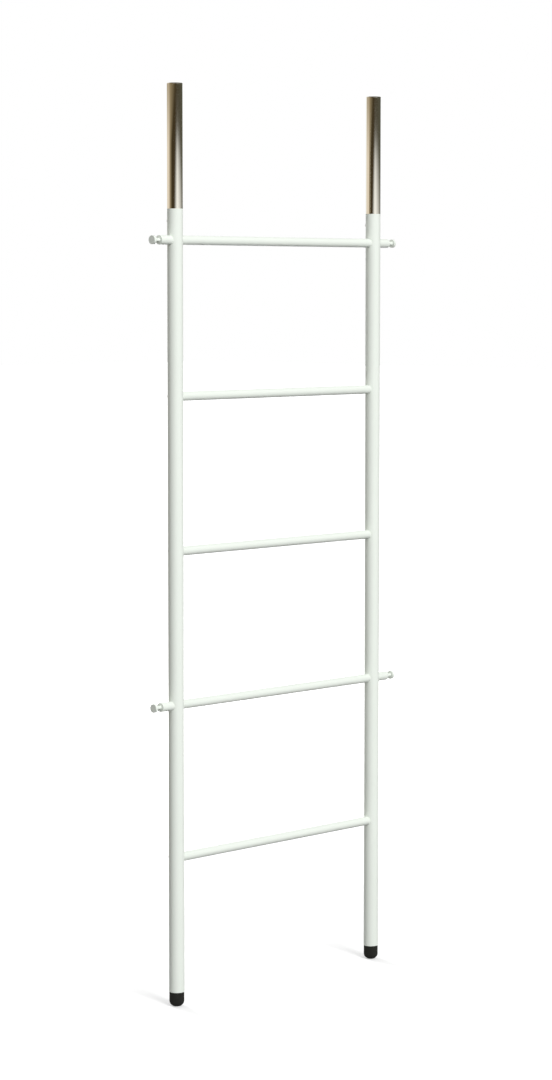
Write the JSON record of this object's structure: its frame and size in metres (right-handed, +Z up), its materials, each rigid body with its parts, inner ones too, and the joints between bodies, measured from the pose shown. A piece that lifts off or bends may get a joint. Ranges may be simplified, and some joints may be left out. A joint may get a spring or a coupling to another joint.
{
  "type": "towel ladder",
  "caption": "Leaning ladder of round white tube with polished metal tops, straight rungs for hanging towels, short side pegs with end discs and black domed feet.",
  "frame": {"origin": "on the floor, midway between the two feet, on the uprights' own plane", "axes": "+Z up along the uprights, +X along the rungs to the right as seen from the front, +Y to the rear, where the wall is"},
  "size_m": [0.585, 0.0281, 1.5],
  "materials": {
    "white_powder_coat": "satin white powder coat on steel tube",
    "polished_nickel": "polished nickel plate on steel tube",
    "black_rubber": "matt moulded black rubber",
    "zinc_steel": "bright zinc plate on steel"
  },
  "bodies": {
    "root": {"upright_tube_left": "white_powder_coat", "top_tube_left": "polished_nickel", "top_cap_left": "polished_nickel", "top_spigot_left": "zinc_steel", "foot_left": "black_rubber", "rung_nuts_left": "zinc_steel", "rear_screws_left": "zinc_steel", "peg_end_upper_left": "white_powder_coat", "peg_end_lower_left": "white_powder_coat", "upright_tube_right": "white_powder_coat", "top_tube_right": "polished_nickel", "top_cap_right": "polished_nickel", "top_spigot_right": "zinc_steel", "foot_right": "black_rubber", "rung_nuts_right": "zinc_steel", "rear_screws_right": "zinc_steel", "peg_end_upper_right": "white_powder_coat", "peg_end_lower_right": "white_powder_coat", "rung_1": "white_powder_coat", "rung_2": "white_powder_coat", "rung_3": "white_powder_coat", "rung_4": "white_powder_coat", "rung_5": "white_powder_coat"}
  },
  "joints": []
}
